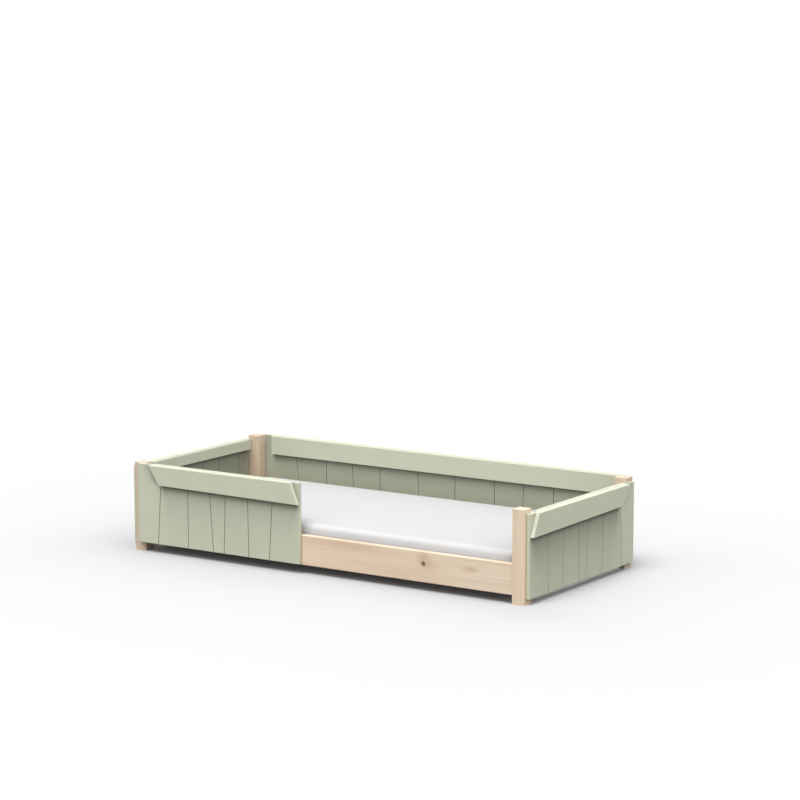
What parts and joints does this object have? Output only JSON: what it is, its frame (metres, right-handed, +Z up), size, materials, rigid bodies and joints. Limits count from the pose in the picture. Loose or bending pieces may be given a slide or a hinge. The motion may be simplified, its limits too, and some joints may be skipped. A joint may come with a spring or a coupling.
{
  "type": "toddler floor bed",
  "caption": "Low toddler floor bed: timber posts and rails, painted grooved panels on three sides and half the front, an open way in, slats and a mattress.",
  "frame": {"origin": "on the floor, in the middle of the bed's outline", "axes": "+X along the bed towards the end beside the way in, +Y across the bed towards the closed back, +Z up"},
  "size_m": [2.206, 1.03, 0.42],
  "materials": {
    "pine": "clear matt lacquer on softwood",
    "sage_paint": "satin sage-green paint on fibreboard",
    "slat_wood": "planed, bare",
    "webbing": "woven tape",
    "beech": "bare, fluted",
    "zinc_steel": "zinc plated",
    "mattress_cover": "plain white knitted cover"
  },
  "bodies": {
    "frame": {"post_front_left": "pine", "post_front_right": "pine", "post_back_left": "pine", "post_back_right": "pine", "front_rail": "pine", "back_rail": "pine", "left_rail": "pine", "right_rail": "pine", "front_panel": "sage_paint", "front_outer_cap": "sage_paint", "front_inner_cap": "sage_paint", "back_panel": "sage_paint", "back_outer_cap": "sage_paint", "back_inner_cap": "sage_paint", "left_panel": "sage_paint", "left_outer_cap": "sage_paint", "left_inner_cap": "sage_paint", "right_panel": "sage_paint", "right_outer_cap": "sage_paint", "right_inner_cap": "sage_paint", "front_cleat": "slat_wood", "back_cleat": "slat_wood", "slat_01": "slat_wood", "slat_02": "slat_wood", "slat_03": "slat_wood", "slat_04": "slat_wood", "slat_05": "slat_wood", "slat_06": "slat_wood", "slat_07": "slat_wood", "slat_08": "slat_wood", "slat_09": "slat_wood", "slat_10": "slat_wood", "slat_11": "slat_wood", "slat_12": "slat_wood", "slat_13": "slat_wood", "slat_14": "slat_wood", "slat_15": "slat_wood", "front_slat_tape": "webbing", "back_slat_tape": "webbing", "end_rail_dowels": "beech", "panel_dowels": "beech", "front_cleat_screws": "zinc_steel", "back_cleat_screws": "zinc_steel", "end_slat_screws": "zinc_steel", "cap_screws": "zinc_steel", "plate_screws": "zinc_steel", "rail_hook_plates": "zinc_steel", "post_receiver_plates": "zinc_steel", "front_panel_screws": "zinc_steel", "back_panel_screws": "zinc_steel", "left_panel_screws": "zinc_steel", "right_panel_screws": "zinc_steel"},
    "mattress": {"mattress": "mattress_cover"}
  },
  "joints": [
    {"name": "mattress_lift", "type": "slide", "parent": "frame", "child": "mattress", "axis": [0, 0, 1], "range_m": [0, 0.35]}
  ]
}
